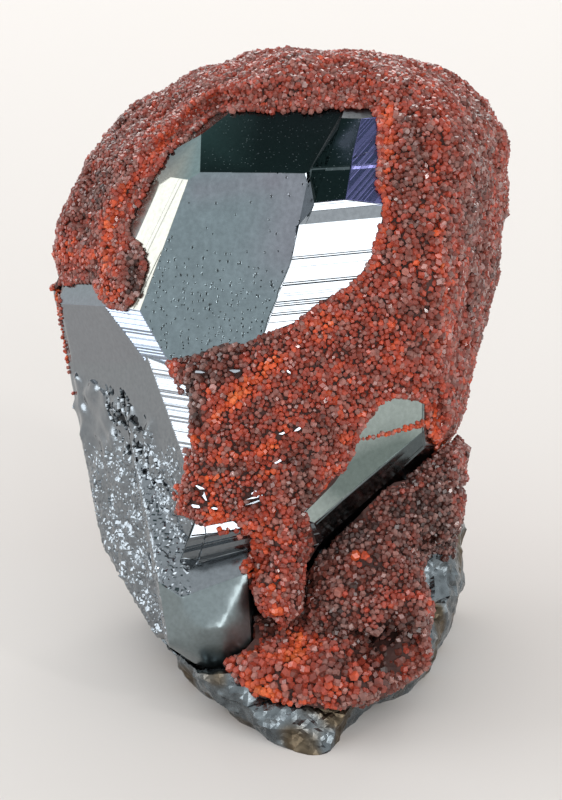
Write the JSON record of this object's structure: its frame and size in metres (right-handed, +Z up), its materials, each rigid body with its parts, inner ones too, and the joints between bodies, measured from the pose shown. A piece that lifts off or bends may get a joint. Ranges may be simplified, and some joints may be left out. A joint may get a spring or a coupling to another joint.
{
  "type": "hematite crystal with andradite garnet",
  "caption": "Natural mineral specimen: a leaning mirror-faced hematite crystal on a hematite matrix, wrapped in a crust of tiny red andradite garnets with a window on its bright faces.",
  "frame": {"origin": "middle of the specimen's box at the surface it stands on", "axes": "+Z up from the cut-flat underside; +Y to the back, the way the crystal leans; the bright window faces -Y"},
  "size_m": [0.0348, 0.0416, 0.0431],
  "materials": {
    "bright_hematite": "natural metallic hematite: mirror-bright, striated and satin crystal faces",
    "massive_hematite": "broken massive hematite, dark grey with metallic glints",
    "red_andradite": "druse of tiny glassy garnet crystals, brick red to orange",
    "brown_andradite": "druse of tiny glassy garnet crystals, dark brown with orange patches"
  },
  "bodies": {
    "root": {"hematite_crystal": "bright_hematite", "hematite_matrix": "massive_hematite", "garnet_crust": "red_andradite", "matrix_garnet_crust": "brown_andradite"}
  },
  "joints": []
}
